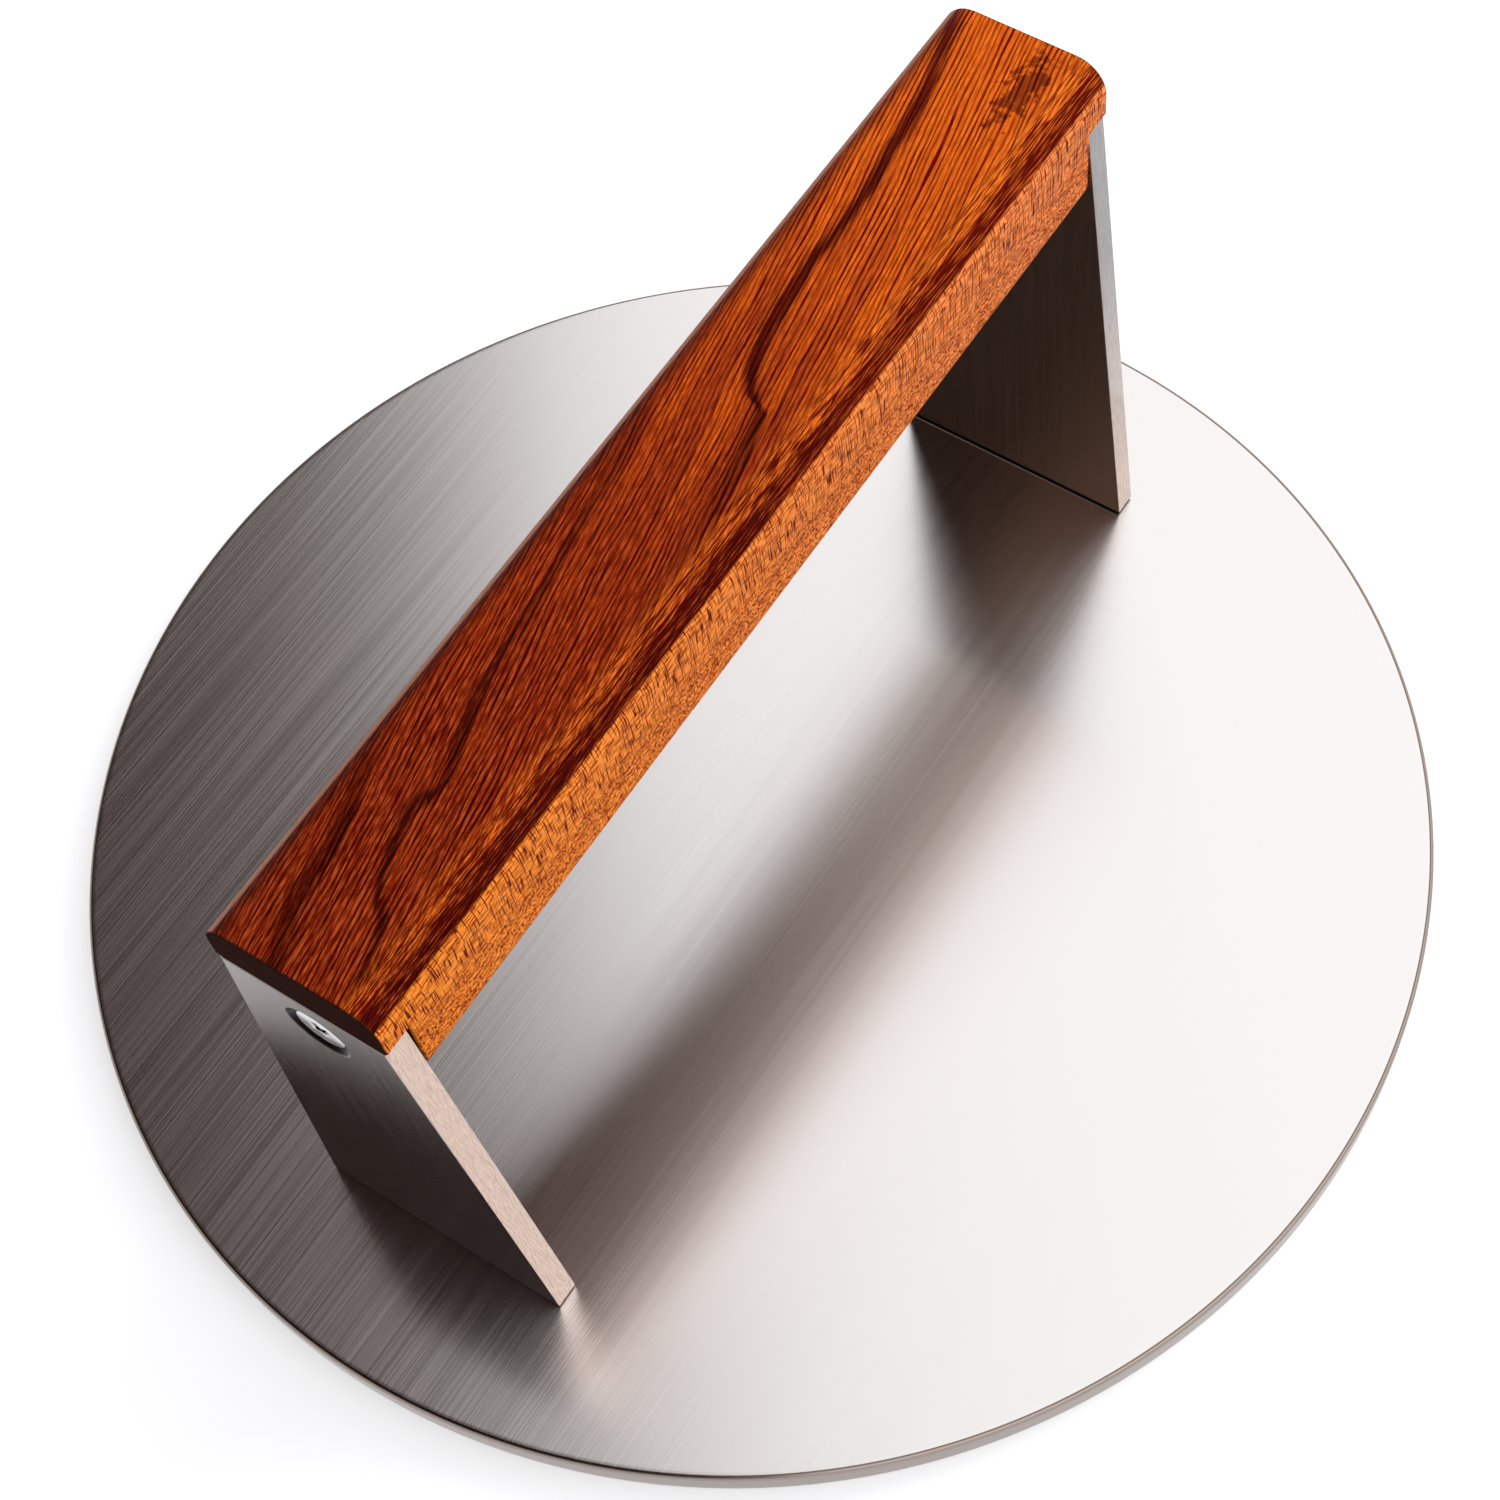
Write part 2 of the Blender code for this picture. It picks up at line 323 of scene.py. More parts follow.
# The last mm of the radius is darker: brown on the broken edge, grey on the side.
radius = length_of(tree, mm, (1.0, 1.0, 0.0))
brown, grey = linear("#6A5A50")[:3], linear("#A0948D")[:3]
rim = add(
    tree, "ShaderNodeValToRGB", {"Fac": change(tree, radius, 77.0, 78.0)},
    stops=[(0.45, (*brown, 0.0)), (0.50, (*brown, 1.0)), (0.58, (*brown, 1.0)), (0.70, (*grey, 1.0))],
).outputs
tone = blend(tree, rim["Alpha"], tone, rim["Color"])
# The bar's mirror image lies a little nearer to the bar than a level mirror would put it. Lopsided
# grooves could do that, so the slope of the finish leans by a small fixed amount.
lean = compute(tree, "MULTIPLY", split["Y"], GROOVE_LEAN)
grooves = add(tree, "ShaderNodeBump", {"Strength": 1.0, "Distance": 0.001, "Height": lean})
across = add(tree, "ShaderNodeCombineXYZ", {"X": 0.0, "Y": 1.0, "Z": 0.3})
shader["Metallic"].default_value = 1.0
shader["Anisotropic"].default_value = 0.75
tree.links.new(grooves.outputs[0], shader["Normal"])
tree.links.new(tone, shader["Base Color"])
tree.links.new(rough, shader["Roughness"])
tree.links.new(across.outputs[0], shader["Tangent"])
print("Finish:", disc_steel.name)

# %% [markdown]
# ## Satin steel of the legs
#
# The legs are cut from sheet with the lines upright. Their cut edges are dressed on a belt and
# look paler; the far leg's edge also gets painted shade that darkens it towards the top. The lower
# part of the legs is painted darker and browner as painted shade, and the inner faces get painted
# light, a paler and warmer tone. The countersink round each screw is painted nearly black as
# painted shade in the gap round the head, so it reads as a black ring.

# %% Finish: satin legs
leg_steel, tree, shader, mm = start_finish("satin_stainless_steel")
split = axes(tree, mm)
# Lines 0.16 mm wide and 25 mm long. These too are drawn coarser than the real ones.
fine = noise(tree, mm, (0.16, 0.16, 25), detail=3.0, roughness=0.6)["Fac"]
tone = tones(tree, fine, (0.3, "#6C615B"), (0.7, "#80746D"))
# Painted shade: the legs are painted darker and browner from 58 mm down to 32 mm.
painted_low_shade = change(tree, split["Z"], 58.0, 32.0)
tone = blend(tree, painted_low_shade, tone, "#D6BEB4", "MULTIPLY")
# The inner faces are 57.5 mm from the middle of the press.
inward = compute(tree, "ABSOLUTE", split["X"])
inward = change(tree, inward, 57.7, 57.55)
# Painted light: the inner faces get a paler, warmer tone than the outer faces.
tone = blend(tree, inward, tone, "#A8907E")
# The cut edges lean in by 0.099 mm for each mm of height, from 15.73 mm at the level of the floor.
off_middle = compute(tree, "ABSOLUTE", split["Y"])
reach = compute(tree, "MULTIPLY_ADD", split["Z"], 0.099, off_middle)
on_edge = change(tree, reach, 15.50, 15.68)
up_leg = change(tree, split["Z"], 4.0, 66.0)
# Painted shade: the far leg's edge darkens towards its top, and the edge tone carries it along with the
# paler belt finish.
far_edge_painted_shade = tones(tree, up_leg, (0.1, "#E0CFC4"), (0.7, "#A09C9B"))
far_leg = compute(tree, "GREATER_THAN", split["X"], 0.0)
belt_and_painted_shade = blend(tree, far_leg, "#E6D0C2", far_edge_painted_shade)
belt_lines = tones(tree, fine, (0.3, "#E2DEDA"), (0.6, "#FFFFFF"))
belt_and_painted_shade = blend(tree, 1.0, belt_and_painted_shade, belt_lines, "MULTIPLY")
tone = blend(tree, on_edge, tone, belt_and_painted_shade)
# Painted shade: the countersink round the head is painted nearly black, as the shadow in the gap.
countersink_painted_shade = length_of(tree, mm, (0.0, 1.0, 1.0), origin=(0.0, 0.0, SCREW_Z))
countersink_painted_shade = change(tree, countersink_painted_shade, 3.56, 3.46)
tone = blend(tree, countersink_painted_shade, tone, "#15110F")
rough = change(tree, fine, 0.3, 0.7, low=0.19, high=0.25)
grooves = add(tree, "ShaderNodeBump", {"Strength": 1.0, "Distance": 0.00001, "Height": fine})
across = add(tree, "ShaderNodeCombineXYZ", {"X": 0.3, "Y": 1.0, "Z": 0.0})
shader["Metallic"].default_value = 1.0
shader["Anisotropic"].default_value = 0.6
tree.links.new(tone, shader["Base Color"])
tree.links.new(rough, shader["Roughness"])
tree.links.new(grooves.outputs[0], shader["Normal"])
tree.links.new(across.outputs[0], shader["Tangent"])
print("Finish:", leg_steel.name)

# %% [markdown]
# ## Bright steel of the screws
#
# The screws are nickel plated: smooth, pale and a little clouded from the plating bath. The cross
# recess is painted dark as painted shade; it would otherwise mirror the sky and hardly show.

# %% Finish: plated screws
screw_steel, tree, shader, mm = start_finish("nickel_plated_steel")
split = axes(tree, mm)
cloud = add(
    tree, "ShaderNodeTexNoise", {"Vector": mm, "Scale": 1 / 2.5, "Detail": 1.0}
).outputs["Fac"]
tone = tones(tree, cloud, (0.3, "#E4E3E4"), (0.7, "#F2F1F2"))
# The recess is less than 1.6 mm from the axis, and 0.1 to 1.4 mm below the face at 60.2 mm.
outward = compute(tree, "ABSOLUTE", split["X"])
below = compute(tree, "COMPARE", outward, 59.45, 0.65)
off_axis = length_of(tree, mm, (0.0, 1.0, 1.0), origin=(0.0, 0.0, SCREW_Z))
inside = compute(tree, "LESS_THAN", off_axis, 1.6)
# Painted shade: the cross recess is painted dark.
recess_painted_shade = compute(tree, "MULTIPLY", below, inside)
tone = blend(tree, recess_painted_shade, tone, "#1C1817")
rough = change(tree, cloud, 0.3, 0.7, low=0.24, high=0.28)
shader["Metallic"].default_value = 1.0
tree.links.new(tone, shader["Base Color"])
tree.links.new(rough, shader["Roughness"])
print("Finish:", screw_steel.name)

# %% [markdown]
# ## Oiled hardwood of the grip
#
# The bar is a heavy red tropical hardwood, planed and oiled. Its grain runs about eleven degrees
# off the bar's length, so the pores come out at the top as long thin dark lines. The ground goes
# from deep red at the left end to orange at the right end, with some dark growth lines that
# wander along the grain. The sides cut the growth rings the other way, and show short upright
# flecks on a paler tan. Each of these is one layer of a solid pattern, so the layers meet at the
# edges as in a real bar. A wrapped picture would not do that.
#
# The layers share two sets of coordinates, both measured from the top of the bar: one straight,
# and one that follows the grain and sways a little with it.

# %% Wood: grain coordinates
GRAIN_DEGREES = 10.5
BAR_TOP_Z = 72.4
wood, tree, shader, mm = start_finish("oiled_red_hardwood")
from_top = add(tree, "ShaderNodeMapping", {"Vector": mm, "Location": (0, 0, -BAR_TOP_Z)}).outputs[0]
turn = (0, 0, -math.radians(GRAIN_DEGREES))
along = add(tree, "ShaderNodeMapping", {"Vector": from_top, "Rotation": turn}).outputs[0]
sway = noise(tree, along, (28, 9, 9))["Color"]
sway = add(tree, "ShaderNodeVectorMath", {0: sway, 1: (0.5, 0.5, 0.5)}, operation="SUBTRACT").outputs[0]
sway = add(tree, "ShaderNodeVectorMath", {0: sway, 1: (0.0, 2.0, 2.0)}, operation="MULTIPLY").outputs[0]
grain = add(tree, "ShaderNodeVectorMath", {0: along, 1: sway}, operation="ADD").outputs[0]
split = axes(tree, from_top)
off_middle = compute(tree, "ABSOLUTE", split["Y"])
along_bar = change(tree, split["X"], -60.0, 60.0)
print("Grain turned by", GRAIN_DEGREES, "degrees")

# %% [markdown]
# The ground colour follows the place along the bar, with noise that pushes it to and fro in long
# bands. Fine fibres are multiplied over it, so they darken it and never make it paler. One could
# paint this by hand, but the noise runs through the whole solid and turns each edge by itself.

# %% Wood: ground colour
figure = noise(tree, grain, (45, 2.4, 2.4), detail=3.0)["Fac"]
mood = compute(tree, "MULTIPLY_ADD", figure, 1.1, -0.55)
mood = compute(tree, "ADD", along_bar, mood)
ground = tones(
    tree, mood, (0.0, "#B04A20"), (0.17, "#B3491C"), (0.33, "#B54719"),
    (0.5, "#B64717"), (0.67, "#D96016"), (0.9, "#F17218"),
)
# The rounding towards the viewer is cut along the grain and is orange, and darker at its foot.
strip = change(tree, split["Y"], -5.4, -6.6, high=0.58)
strip_foot = change(tree, split["Y"], -7.5, -8.3)
strip_tone = tones(tree, strip_foot, (0.0, "#F6842A"), (1.0, "#A84C16"))
ground = blend(tree, strip, ground, strip_tone)
# Bundles of fibres 0.16 mm wide; single fibres are about a tenth of that and would not show.
fibre = noise(tree, grain, (1.6, 0.16, 0.16), roughness=0.6)["Fac"]
fibre_tone = tones(tree, fibre, (0.34, "#8A3C30"), (0.49, "#BE9A8A"), (0.66, "#FFFFFF"))
fibre_share = change(tree, along_bar, 0.2, 0.9, low=1.0, high=0.5)
top_colour = blend(tree, fibre_share, ground, fibre_tone, "MULTIPLY")
print("Wood: ground colour ready")

# %% [markdown]
# The pores are cut vessels, in rows about 0.5 mm apart. A wave pattern, distorted and stretched
# along the grain, gives such rows, and patches of noise let them come and go. On the rounding
# towards the viewer the knife meets the vessels at another angle, so there the lines are finer and
# run with the edge.

# %% Wood: pore lines
rows = add(tree, "ShaderNodeMapping", {"Vector": grain, "Scale": (1 / 12, 1, 1)}).outputs[0]
rows = add(
    tree, "ShaderNodeTexWave",
    {"Vector": rows, "Scale": 0.6, "Distortion": 6.0, "Detail": 2.0, "Detail Scale": 1.0},
    bands_direction="Y",
).outputs["Fac"]
pores = change(tree, rows, 0.42, 0.16, kind="SMOOTHSTEP")
patches = noise(tree, grain, (9, 0.8, 0.8))["Fac"]
depth = change(tree, patches, 0.34, 0.6, low=0.42)
pores = compute(tree, "MULTIPLY", pores, depth)
edge_lines = noise(tree, from_top, (3.0, 0.13, 0.13), detail=1.0)["Fac"]
crowded = change(tree, split["Y"], -7.5, -8.3, high=0.1)
edge_lines = compute(tree, "SUBTRACT", edge_lines, crowded)
edge_lines = change(tree, edge_lines, 0.56, 0.38, kind="SMOOTHSTEP")
at_edge = change(tree, split["Y"], -5.8, -6.8)
lines = mix_numbers(tree, at_edge, pores, edge_lines)
top_lined = blend(tree, lines, top_colour, "#7A2A16", "MULTIPLY")
print("Wood: pore lines ready")

# %% [markdown]
# Three dark growth lines wander across the top. Each follows a curve: its place across the grain,
# for every place along the bar. Noise is added to the distance from that curve, which frays the
# line along the grain as in real wood.

# %% Wood: growth lines
CURVE_REACH = 20.0
left_line = add(
    tree, "ShaderNodeFloatCurve", {"Value": along_bar},
    curve=[(0.0, 0.70), (1.0, 0.80), (0.06, 0.76), (0.1, 0.87), (0.15, 0.88), (0.18, 0.82),
           (0.25, 0.86), (0.33, 0.84), (0.46, 0.81)],
)
right_line = add(
    tree, "ShaderNodeFloatCurve", {"Value": along_bar},
    curve=[(0.0, 0.34), (1.0, 0.32), (0.39, 0.31), (0.5, 0.28), (0.565, 0.28), (0.58, 0.37),
           (0.62, 0.44), (0.7, 0.42), (0.75, 0.36), (0.86, 0.29)],
)
corner_line = add(
    tree, "ShaderNodeFloatCurve", {"Value": along_bar},
    curve=[(0.0, 0.56), (1.0, 0.66), (0.06, 0.61), (0.1, 0.58), (0.16, 0.63)],
)
thinning = change(tree, along_bar, 0.2, 0.45, low=0.9, high=0.55)
fading = change(tree, along_bar, 0.45, 0.58, low=0.35)
cornering = change(tree, along_bar, 0.30, 0.12, high=0.8)
strands = noise(tree, grain, (34, 0.18, 0.18), detail=0.0)["Fac"]
frayed = axes(tree, along)["Y"]
for fray, reach in ((split["Z"], 0.6), (strands, 1.0), (patches, 1.6)):
    frayed = compute(tree, "MULTIPLY_ADD", fray, reach, frayed)
growth = None
for line, start, width, strength in (
    (left_line, -8.7, 0.9, thinning),
    (right_line, -8.7, 1.2, fading),
    (corner_line, 2.3, 1.4, cornering),
):
    middle = compute(tree, "MULTIPLY_ADD", line.outputs[0], CURVE_REACH, start)
    off = compute(tree, "SUBTRACT", frayed, middle)
    off = compute(tree, "ABSOLUTE", off)
    dark = change(tree, off, width, 0.2 * width, high=strength, kind="SMOOTHSTEP")
    growth = dark if growth is None else compute(tree, "MAXIMUM", growth, dark)
print("Wood: growth lines ready")

# %% [markdown]
# A small knot sits at the right end: an egg-shaped region in the wood, eaten away by speckles of
# noise. The far rounding turns away from the light, so painted shade makes it as dark as a growth
# line.

# %% Wood: knot and far edge
KNOT_X, KNOT_Y = 54.5, -3.6
# Half its length and half its width, and its depth below the top, in mm.
KNOT_LONG, KNOT_WIDE, KNOT_DEEP = 5.5, 2.0, 5
knot = add(
    tree, "ShaderNodeMapping",
    {"Vector": from_top, "Location": (-KNOT_X / KNOT_LONG, -KNOT_Y / KNOT_WIDE, 0),
     "Scale": (1 / KNOT_LONG, 1 / KNOT_WIDE, 1 / KNOT_DEEP)},
).outputs[0]
knot = add(tree, "ShaderNodeVectorMath", {0: knot}, operation="LENGTH").outputs["Value"]
speckle = add(
    tree, "ShaderNodeTexNoise", {"Vector": grain, "Scale": 1 / 1.4, "Detail": 3.0, "Roughness": 0.6}
).outputs["Fac"]
knot = compute(tree, "MULTIPLY_ADD", speckle, 3.6, knot)
knot = change(tree, knot, 2.85, 2.4, high=0.75, kind="SMOOTHSTEP")
growth = compute(tree, "MAXIMUM", growth, knot)
growth = mix_numbers(tree, at_edge, growth, 0.0)
# Painted shade: the far rounding is darkened like a growth line, and the growth mask carries it from
# here on.
far_rounding_painted_shade = change(tree, split["Y"], 6.2, 7.6, high=0.7)
growth = compute(tree, "MAXIMUM", growth, far_rounding_painted_shade)
top_grown_and_shaded = blend(tree, growth, top_lined, "#74402E", "MULTIPLY")
print("Wood: knot and far edge ready")

# %% [markdown]
# The sides cut the growth rings the other way. They are paler, with thin level dashes, upright
# flecks from the rays in the upper half, and dots where the vessels end in the lower half. Each
# kind of mark is noise of its own size, clipped so that only its darkest places show.

# %% Wood: sides
upper_half = change(tree, split["Z"], -11.0, -7.0)
lower_half = change(tree, split["Z"], -7.0, -9.5)
side_colour = tones(tree, along_bar, (0.1, "#F89034"), (0.9, "#F68E4B"))
for size, least, most, share, tone in (
    ((1.3, 8, 0.15), 0.48, 0.40, 0.85, "#A26026"),
    ((0.3, 8, 0.22), 0.45, 0.38, lower_half, "#945420"),
    ((0.15, 8, 2.6), 0.42, 0.37, upper_half, "#7C3C10"),
):
    mark = noise(tree, from_top, size, detail=0.0)["Fac"]
    mark = change(tree, mark, least, most, high=share, kind="SMOOTHSTEP")
    side_colour = blend(tree, mark, side_colour, tone, "MULTIPLY")
print("Wood: sides ready")

# %% [markdown]
# Last, each layer goes to its own part of the bar, by its place in the solid: the sides by the
# distance from the middle, the underside by the height, and the ends by the length. The underside
# is raw wood, greyer at the left; painted light makes it paler towards the right end. The end grain
# drinks the oil, so it is matt; its dark colour is partly its own and partly painted shade. The
# outer part of the far rounding is a dimmer, browner copy of the side colour, as painted shade. The
# pore lines are also pressed into the surface a little, as a knife leaves them.

# %% Wood: put the layers together
on_side = compute(tree, "MULTIPLY_ADD", split["Z"], -0.02, off_middle)
on_side = change(tree, on_side, 9.14, 9.28)
# Painted shade: the outer part of the far rounding gets a dimmer, browner copy of the side colour.
far_side_painted_shade = change(tree, split["Y"], 7.9, 8.2, high=0.8)
underneath = change(tree, split["Z"], -14.4, -14.9, high=0.75)
# Painted light: the raw underside runs from greyer at the left end to paler at the right end.
raw_wood_and_painted_light = tones(tree, along_bar, (0.2, "#846C60"), (0.8, "#ECDED2"))
from_centre = compute(tree, "ABSOLUTE", split["X"])
end_grain = change(tree, from_centre, 60.25, 60.45)
# The end grain is darker wood, and painted shade darkens it further, as it faces away from the light.
end_grain_and_painted_shade = blend(tree, fibre, "#1C0B08", "#3A1D16")
all_wood = top_grown_and_shaded
for where, layer in (
    (far_side_painted_shade, "#B0765C"), (on_side, side_colour), (underneath, raw_wood_and_painted_light), (end_grain, end_grain_and_painted_shade),
):
    all_wood = blend(tree, where, all_wood, layer)
relief = compute(tree, "MULTIPLY", lines, -1.0)
relief = compute(tree, "MULTIPLY_ADD", fibre, 0.8, relief)
relief = add(tree, "ShaderNodeBump", {"Strength": 1.0, "Distance": 0.00005, "Height": relief})
rough = change(tree, lines, 0.0, 1.0, low=0.32, high=0.5)
rough = mix_numbers(tree, end_grain, rough, 0.95)
shader["Specular IOR Level"].default_value = 0.02
tree.links.new(all_wood, shader["Base Color"])
tree.links.new(rough, shader["Roughness"])
tree.links.new(relief.outputs[0], shader["Normal"])
print("Finish:", wood.name, "with", len(tree.nodes), "nodes")

# %% [markdown]
# ## Helpers for pieces
#
# A piece starts as a simple shape in a bmesh. Holes are easier to cut with another shape than to
# stitch by hand, so a helper runs Blender's Boolean and keeps the result. The last helper shades
# a piece: large flat faces keep their own normals and only the rounded edges blend.

# %% Helpers for pieces
MM = 0.001
SAME_POINT, SAME_PLANE = 1e-7, 1e-6


def round_edges(shape, edges, radius, segments):
    bmesh.ops.bevel(
        shape, geom=edges, offset=radius, segments=segments, profile=0.5, affect="EDGES", material=-1
    )


def mesh_from(shape, name):
    bmesh.ops.recalc_face_normals(shape, faces=shape.faces)
    mesh = bpy.data.meshes.new(name)
    shape.to_mesh(mesh)
    shape.free()
    return mesh


def carve(mesh, *cutters):
    """The mesh with each of the cutters' shapes taken out of it."""
    scene = bpy.context.scene.collection.objects
    blank = bpy.data.objects.new("blank", mesh)
    scene.link(blank)
    tools = []
    for cutter in cutters:
        tool = bpy.data.objects.new("tool", cutter)
        scene.link(tool)
        tools.append(tool)
        cut = blank.modifiers.new("cut", "BOOLEAN")
        cut.operation = "DIFFERENCE"
        cut.object = tool
    graph = bpy.context.evaluated_depsgraph_get()
    carved = bpy.data.meshes.new_from_object(blank.evaluated_get(graph))
    carved.name = mesh.name
    for used in (blank, *tools):
        bpy.data.objects.remove(used, do_unlink=True)
    return carved


def finish_piece(name, mesh, material, node):
    """Shades the mesh, and puts it in the frame in place of the CAD node."""
    mesh.materials.clear()
    mesh.materials.append(material)
    mesh.shade_smooth()
    mesh.set_sharp_from_angle(angle=math.radians(35))
    piece = bpy.data.objects.new(name, mesh)
    bpy.context.scene.collection.objects.link(piece)
    even = piece.modifiers.new("even_normals", "WEIGHTED_NORMAL")
    even.keep_sharp = True
    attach(piece, "root")
    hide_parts(node)
    print(name, "has", len(mesh.polygons), "faces")


# %% [markdown]
# ## Disc
#
# The disc is a circle, given its thickness by one extrusion. Its two rims get a small round, as
# a deburred sheet has. A narrow inset next to each rim keeps the large faces truly flat.

# %% Disc
DISC_RADIUS = 78.0 * MM
DISC_THICKNESS = 4.0 * MM
DISC_EDGE = 0.5 * MM
RIM_INSET = 0.4 * MM
shape = bmesh.new()
bmesh.ops.create_circle(shape, cap_ends=True, segments=256, radius=DISC_RADIUS)
lifted = bmesh.ops.extrude_face_region(shape, geom=shape.faces[:])["geom"]
raised = [part for part in lifted if isinstance(part, bmesh.types.BMVert)]
bmesh.ops.translate(shape, vec=(0, 0, DISC_THICKNESS), verts=raised)
rims = [edge for edge in shape.edges if abs(edge.verts[0].co.z - edge.verts[1].co.z) < SAME_PLANE]
round_edges(shape, rims, DISC_EDGE, segments=3)
flats = [face for face in shape.faces if len(face.verts) > 4]
bmesh.ops.inset_region(shape, faces=flats, thickness=RIM_INSET)
finish_piece("disc", mesh_from(shape, "disc"), disc_steel, "press_plate")

# %% [markdown]
# ## Legs
#
# A leg is a block of sheet thickness whose top corners are drawn in. The screw hole is cut with
# a spun cutter: a cone for the countersink that runs out into a plain bore.

# %% Legs
LEG_OUTER_X = 60.5 * MM
LEG_THICKNESS = 3.0 * MM
LEG_FOOT_Z, LEG_TOP_Z = 4.3 * MM, 65.9 * MM
LEG_FOOT_WIDTH, LEG_TOP_WIDTH = 30.6 * MM, 18.4 * MM
LEG_EDGE = 0.25 * MM
SINK_RADIUS, BORE_RADIUS = 3.575 * MM, 1.8 * MM
DRILL_ABOVE, DRILL_BELOW = 2.0 * MM, 5.0 * MM


def leg_block(name, side):
    shape = bmesh.new()
    bmesh.ops.create_cube(shape, size=1.0)
    size = (LEG_THICKNESS, LEG_FOOT_WIDTH, LEG_TOP_Z - LEG_FOOT_Z)
    bmesh.ops.scale(shape, vec=size, verts=shape.verts)
    top = [vert for vert in shape.verts if vert.co.z > 0]
    bmesh.ops.scale(shape, vec=(1, LEG_TOP_WIDTH / LEG_FOOT_WIDTH, 1), verts=top)
    round_edges(shape, shape.edges[:], LEG_EDGE, segments=2)
    middle = (side * (LEG_OUTER_X - LEG_THICKNESS / 2), 0, (LEG_FOOT_Z + LEG_TOP_Z) / 2)
    bmesh.ops.translate(shape, vec=middle, verts=shape.verts)
    return mesh_from(shape, name)


def spun(name, outline, place, steps=96):
    """Spins an outline of (radius, height) points about Z, then sets it in its place."""
    shape = bmesh.new()
    points = [shape.verts.new((radius, 0, height)) for radius, height in outline]
    for first, second in zip(points, points[1:]):
        shape.edges.new((first, second))
    bmesh.ops.spin(
        shape, geom=shape.verts[:] + shape.edges[:], cent=(0, 0, 0), axis=(0, 0, 1),
        angle=math.tau, steps=steps, use_merge=True,
    )
    bmesh.ops.remove_doubles(shape, verts=shape.verts, dist=SAME_POINT)
    bmesh.ops.transform(shape, matrix=place, verts=shape.verts)
    return mesh_from(shape, name)


def screw_place(side):
    """On the leg's outer face at the screw's axis, with Z pointing out of the press."""
    turn = Matrix.Rotation(side * math.pi / 2, 4, "Y")
    return Matrix.Translation((side * LEG_OUTER_X, 0, SCREW_Z * MM)) @ turn


hole = [
    (0.0, DRILL_ABOVE), (SINK_RADIUS + DRILL_ABOVE, DRILL_ABOVE),
    (BORE_RADIUS, BORE_RADIUS - SINK_RADIUS), (BORE_RADIUS, -DRILL_BELOW), (0.0, -DRILL_BELOW),
]
for end, side in (("left", -1), ("right", 1)):
    block = leg_block(f"{end}_leg_sheet", side)
    drilled = carve(block, spun("drill", hole, screw_place(side)))
    finish_piece(f"{end}_leg_sheet", drilled, leg_steel, f"{end}_leg")

# %% [markdown]
# ## Grip
#
# The grip is one bar. Its upper long edges have a generous round for the palm and the lower ones
# a smaller one for the fingers, so they are bevelled apart. A rabbet across each end takes the
# leg, and leaves a lip of wood above it.

# %% Grip
BAR_LENGTH, BAR_WIDTH, BAR_HEIGHT = 121.0 * MM, 19.0 * MM, 15.4 * MM
BAR_BOTTOM_Z = 57.0 * MM
UPPER_ROUND, LOWER_ROUND = 3.6 * MM, 2.2 * MM


def long_edges(shape, upper):
    return [
        edge for edge in shape.edges
        if edge.calc_length() > 0.9 * BAR_LENGTH
        and (edge.verts[0].co.z > 0) == upper
    ]


shape = bmesh.new()
bmesh.ops.create_cube(shape, size=1.0)
bmesh.ops.scale(shape, vec=(BAR_LENGTH, BAR_WIDTH, BAR_HEIGHT), verts=shape.verts)
lower_edges = long_edges(shape, upper=False)
round_edges(shape, long_edges(shape, upper=True), UPPER_ROUND, segments=12)
round_edges(shape, [edge for edge in lower_edges if edge.is_valid], LOWER_ROUND, segments=8)
bmesh.ops.translate(shape, vec=(0, 0, BAR_BOTTOM_Z + BAR_HEIGHT / 2), verts=shape.verts)
print("Bar has", len(shape.faces), "faces before its rabbets")

# %% [markdown]
# The rabbets are cut as on a saw bench: one cut in from below, one from the end, and the waste
# comes away. In the mesh, two planes slice the faces, the faces of the waste are deleted, and the
# shoulder and the ceiling of the rabbet are filled in.

# %% Rabbets
LIP_HEIGHT = 6.2 * MM
RABBET_DEPTH = 3.3 * MM
SHARP_ANGLE = math.radians(50)
CRISP_EDGE = 0.2 * MM
SHOULDER_X = BAR_LENGTH / 2 - RABBET_DEPTH
CEILING_Z = BAR_BOTTOM_Z + BAR_HEIGHT - LIP_HEIGHT
for side in (-1, 1):
    for point, normal in (((side * SHOULDER_X, 0, 0), (1, 0, 0)), ((0, 0, CEILING_Z), (0, 0, 1))):
        everything = shape.verts[:] + shape.edges[:] + shape.faces[:]
        bmesh.ops.bisect_plane(
            shape, geom=everything, dist=SAME_POINT, plane_co=point, plane_no=normal
        )
    waste = []
    for face in shape.faces:
        middle = face.calc_center_median()
        if side * middle.x > SHOULDER_X and middle.z < CEILING_Z:
            waste.append(face)
    bmesh.ops.delete(shape, geom=waste, context="FACES")
    at_shoulder = [vert for vert in shape.verts if abs(vert.co.x - side * SHOULDER_X) < SAME_PLANE]
    corner = [vert for vert in at_shoulder if abs(vert.co.z - CEILING_Z) < SAME_PLANE]
    shape.edges.new(corner)
    for inside in (
        lambda vert: abs(vert.co.x - side * SHOULDER_X) < SAME_PLANE,
        lambda vert: abs(vert.co.z - CEILING_Z) < SAME_PLANE,
    ):
        loop = [
            edge for edge in shape.edges
            if len(edge.link_faces) < 2 and all(inside(vert) for vert in edge.verts)
        ]
        bmesh.ops.contextual_create(shape, geom=loop)
bmesh.ops.recalc_face_normals(shape, faces=shape.faces)
sharp = [edge for edge in shape.edges if edge.calc_face_angle(0) > SHARP_ANGLE]
round_edges(shape, sharp, CRISP_EDGE, segments=2)
print("Bar is closed:", all(edge.is_manifold for edge in shape.edges))
bar = mesh_from(shape, "grip_bar")

